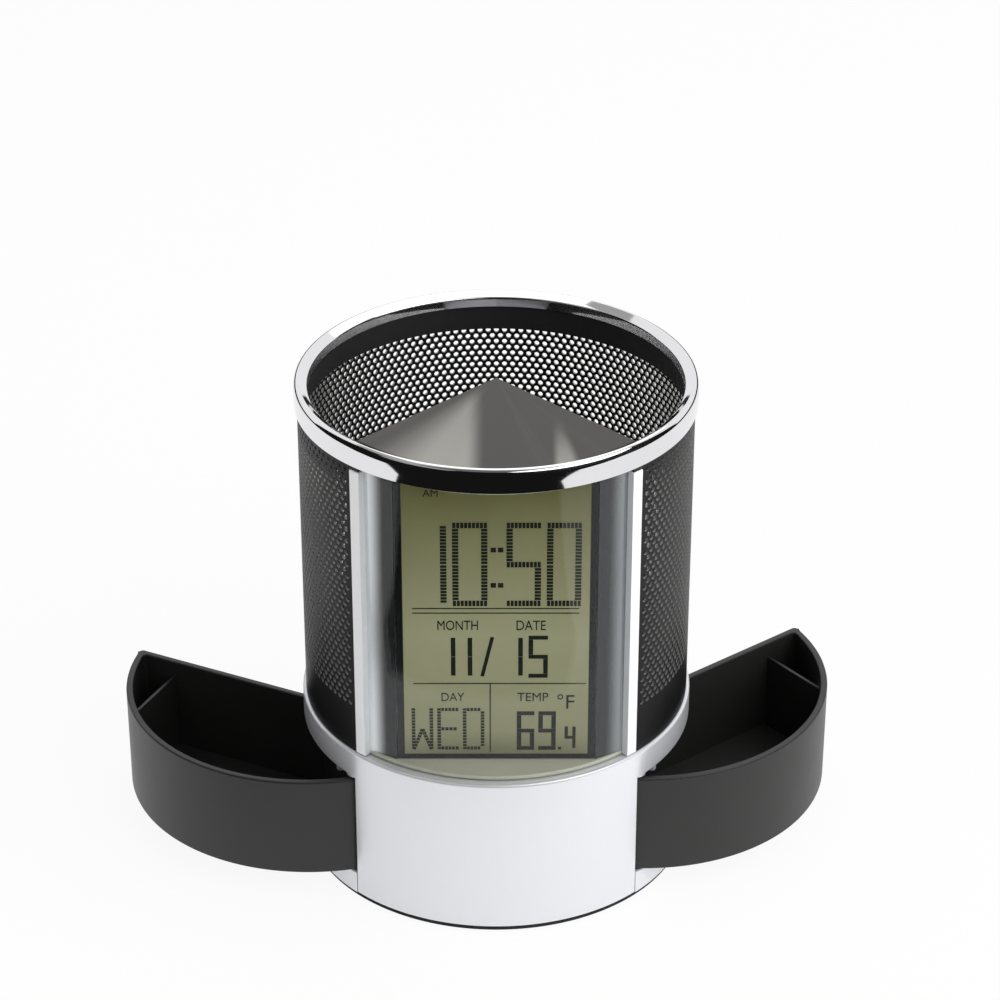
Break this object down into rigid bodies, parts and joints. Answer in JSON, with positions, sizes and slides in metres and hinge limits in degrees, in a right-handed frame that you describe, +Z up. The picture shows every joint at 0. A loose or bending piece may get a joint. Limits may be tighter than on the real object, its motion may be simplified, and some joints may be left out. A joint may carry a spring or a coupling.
{
  "type": "pen holder clock",
  "caption": "Round desk pen cup of perforated metal with a wedge-shaped digital clock in its front and swing-out drawers in its base.",
  "frame": {"origin": "centre of the round underside, on the surface that it stands on", "axes": "+Z up along the cup's axis, -Y towards the clock's front, +X to the right of someone who reads the clock"},
  "size_m": [0.1851, 0.1, 0.132],
  "materials": {
    "foam": "matt foam sheet",
    "silver_plastic": "silver lacquer, satin to semi-gloss",
    "chrome_ring": "polished plating",
    "satin_metal": "brushed, dark satin",
    "black_mesh": "black powder coat on perforated steel",
    "black_plastic": "matt",
    "charcoal_plastic": "charcoal, fine satin",
    "clear_lens": "clear acrylic, polished",
    "lcd_glass": "grey-green reflective display",
    "white_plastic": "matt white",
    "circuit_board": "green solder mask",
    "steel": "nickel plated",
    "cell_can": "printed sleeve",
    "strip_rubber": "matt",
    "red_insulation": "satin",
    "black_insulation": "satin",
    "grey_insulation": "satin"
  },
  "bodies": {
    "holder": {"anti_slip_pad": "foam", "base_pan": "silver_plastic", "base_shell": "silver_plastic", "battery_cell": "cell_can", "negative_contact": "steel", "positive_contact": "steel", "left_hinge_pin": "steel", "right_hinge_pin": "steel", "key_board": "circuit_board", "key_switch_1": "black_plastic", "key_switch_2": "black_plastic", "key_switch_3": "black_plastic", "key_switch_4": "black_plastic", "base_screw_1": "steel", "base_screw_2": "steel", "base_screw_3": "steel", "mesh_sleeve": "black_mesh", "cup_floor": "black_plastic", "top_ring": "chrome_ring", "ring_liner": "black_plastic", "clock_housing": "silver_plastic", "clock_top_cap": "satin_metal", "lens": "clear_lens", "display_surround": "silver_plastic", "lcd_cell": "lcd_glass", "lcd_reflector": "white_plastic", "lcd_holder": "white_plastic", "contact_strip": "strip_rubber", "clock_board": "circuit_board", "chip_blob": "black_plastic", "crystal": "steel", "buzzer": "black_plastic", "temperature_sensor": "black_plastic", "board_screw_1": "steel", "board_screw_2": "steel", "board_screw_3": "steel", "board_screw_4": "steel", "housing_screw_1": "steel", "housing_screw_2": "steel", "ribbon_cable": "grey_insulation", "battery_lead_negative": "black_insulation", "battery_lead_positive": "red_insulation"},
    "left_drawer": {"left_drawer": "charcoal_plastic"},
    "right_drawer": {"right_drawer": "charcoal_plastic"},
    "battery_door": {"battery_door": "silver_plastic"},
    "mode_button": {"mode_button": "black_plastic"},
    "set_button": {"set_button": "black_plastic"},
    "up_button": {"up_button": "black_plastic"},
    "down_button": {"down_button": "black_plastic"}
  },
  "joints": [
    {"name": "left_drawer_swing", "type": "hinge", "parent": "holder", "child": "left_drawer", "pos_m": [-0.03523, -0.03141, 0.0214], "axis": [0, 0, -1], "range_deg": [-6, 64]},
    {"name": "right_drawer_swing", "type": "hinge", "parent": "holder", "child": "right_drawer", "pos_m": [0.03523, -0.03141, 0.0214], "axis": [0, 0, 1], "range_deg": [-18.5, 51.5]},
    {"name": "battery_door_release", "type": "slide", "parent": "holder", "child": "battery_door", "axis": [0, 0, -1], "range_m": [0, 0.012]},
    {"name": "mode_button_press", "type": "slide", "parent": "holder", "child": "mode_button", "axis": [0, 0, 1], "range_m": [0, 0.0005], "stiffness_N_per_m": 300},
    {"name": "set_button_press", "type": "slide", "parent": "holder", "child": "set_button", "axis": [0, 0, 1], "range_m": [0, 0.0005], "stiffness_N_per_m": 300},
    {"name": "up_button_press", "type": "slide", "parent": "holder", "child": "up_button", "axis": [0, 0, 1], "range_m": [0, 0.0005], "stiffness_N_per_m": 300},
    {"name": "down_button_press", "type": "slide", "parent": "holder", "child": "down_button", "axis": [0, 0, 1], "range_m": [0, 0.0005], "stiffness_N_per_m": 300}
  ]
}
